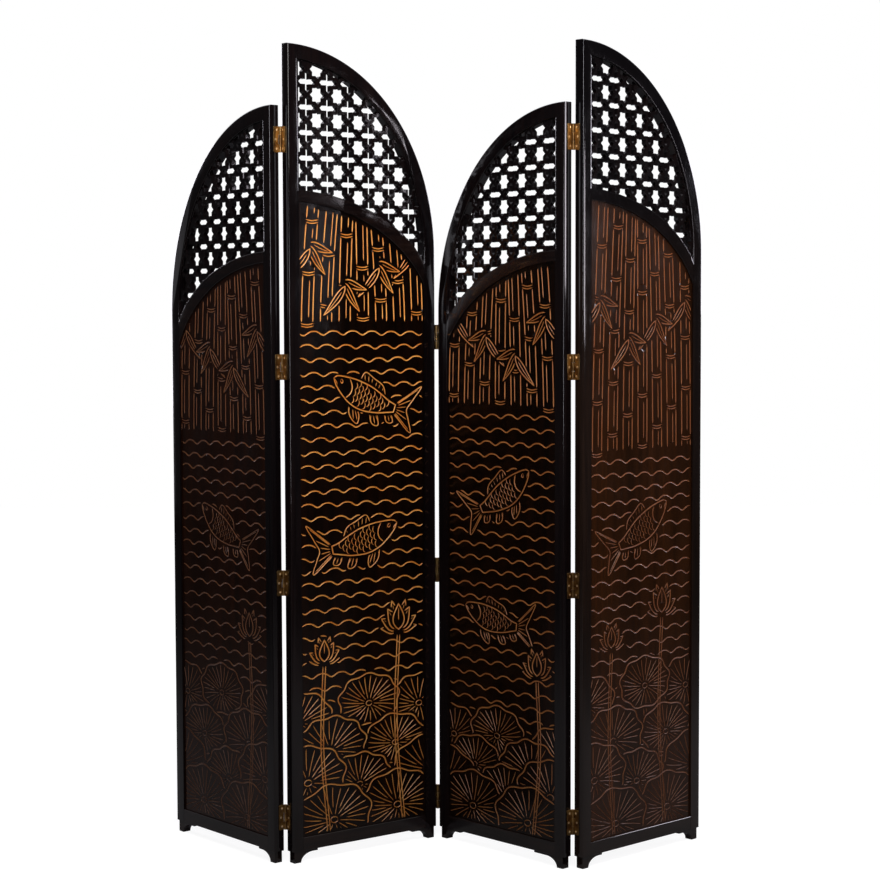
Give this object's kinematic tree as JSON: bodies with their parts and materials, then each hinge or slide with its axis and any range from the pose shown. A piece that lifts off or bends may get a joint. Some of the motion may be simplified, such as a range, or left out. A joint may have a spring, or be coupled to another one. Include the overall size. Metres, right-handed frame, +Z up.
{
  "type": "folding screen",
  "caption": "Folding screen of arched lacquered leaves with a pierced fretwork top over a carved panel, hinged to stand open in a zigzag or fold flat.",
  "frame": {"origin": "middle of the bounding box in plan, on the floor, with the screen standing open as pictured", "axes": "+X to the viewer's right along the screen, +Y away from the viewer, +Z up; every hinge pin is upright"},
  "size_m": [1.3718, 0.4212, 2.03],
  "materials": {
    "black_lacquer": "high gloss black lacquer with a faint warm cast",
    "carved_lacquer": "satin black lacquer with carved lines of burnt orange and gold",
    "hinge_brass": "aged polished brass"
  },
  "bodies": {
    "leaf_1": {"leaf_1_high_stile": "black_lacquer", "leaf_1_low_stile": "black_lacquer", "leaf_1_arch_rail": "black_lacquer", "leaf_1_middle_rail": "black_lacquer", "leaf_1_bottom_rail": "black_lacquer", "leaf_1_carved_panel": "carved_lacquer", "leaf_1_fretwork": "black_lacquer", "leaf_1_high_foot": "black_lacquer", "leaf_1_low_foot": "black_lacquer", "hinge_1_2_top_pin_plate": "hinge_brass", "hinge_1_2_upper_pin_plate": "hinge_brass", "hinge_1_2_lower_pin_plate": "hinge_brass", "hinge_1_2_bottom_pin_plate": "hinge_brass"},
    "leaf_2": {"leaf_2_high_stile": "black_lacquer", "leaf_2_low_stile": "black_lacquer", "leaf_2_arch_rail": "black_lacquer", "leaf_2_middle_rail": "black_lacquer", "leaf_2_bottom_rail": "black_lacquer", "leaf_2_carved_panel": "carved_lacquer", "leaf_2_fretwork": "black_lacquer", "leaf_2_high_foot": "black_lacquer", "leaf_2_low_foot": "black_lacquer", "hinge_1_2_top_plate": "hinge_brass", "hinge_1_2_upper_plate": "hinge_brass", "hinge_1_2_lower_plate": "hinge_brass", "hinge_1_2_bottom_plate": "hinge_brass", "hinge_2_3_top_pin_plate": "hinge_brass", "hinge_2_3_middle_pin_plate": "hinge_brass", "hinge_2_3_bottom_pin_plate": "hinge_brass"},
    "leaf_3": {"leaf_3_high_stile": "black_lacquer", "leaf_3_low_stile": "black_lacquer", "leaf_3_arch_rail": "black_lacquer", "leaf_3_middle_rail": "black_lacquer", "leaf_3_bottom_rail": "black_lacquer", "leaf_3_carved_panel": "carved_lacquer", "leaf_3_fretwork": "black_lacquer", "leaf_3_high_foot": "black_lacquer", "leaf_3_low_foot": "black_lacquer", "hinge_2_3_top_plate": "hinge_brass", "hinge_2_3_middle_plate": "hinge_brass", "hinge_2_3_bottom_plate": "hinge_brass", "hinge_3_4_top_pin_plate": "hinge_brass", "hinge_3_4_upper_pin_plate": "hinge_brass", "hinge_3_4_lower_pin_plate": "hinge_brass", "hinge_3_4_bottom_pin_plate": "hinge_brass"},
    "leaf_4": {"leaf_4_high_stile": "black_lacquer", "leaf_4_low_stile": "black_lacquer", "leaf_4_arch_rail": "black_lacquer", "leaf_4_middle_rail": "black_lacquer", "leaf_4_bottom_rail": "black_lacquer", "leaf_4_carved_panel": "carved_lacquer", "leaf_4_fretwork": "black_lacquer", "leaf_4_high_foot": "black_lacquer", "leaf_4_low_foot": "black_lacquer", "hinge_3_4_top_plate": "hinge_brass", "hinge_3_4_upper_plate": "hinge_brass", "hinge_3_4_lower_plate": "hinge_brass", "hinge_3_4_bottom_plate": "hinge_brass"}
  },
  "joints": [
    {"name": "joint_1_2", "type": "hinge", "parent": "leaf_2", "child": "leaf_1", "pos_m": [-0.37509, -0.13136, 0.95], "axis": [0, 0, 1], "range_deg": [-93, 87]},
    {"name": "joint_2_3", "type": "hinge", "parent": "leaf_2", "child": "leaf_3", "pos_m": [0.00563, 0.11547, 0.7], "axis": [0, 0, 1], "range_deg": [-96.3, 83.7]},
    {"name": "joint_3_4", "type": "hinge", "parent": "leaf_3", "child": "leaf_4", "pos_m": [0.33932, -0.19198, 0.95], "axis": [0, 0, 1], "range_deg": [-90, 90]}
  ]
}
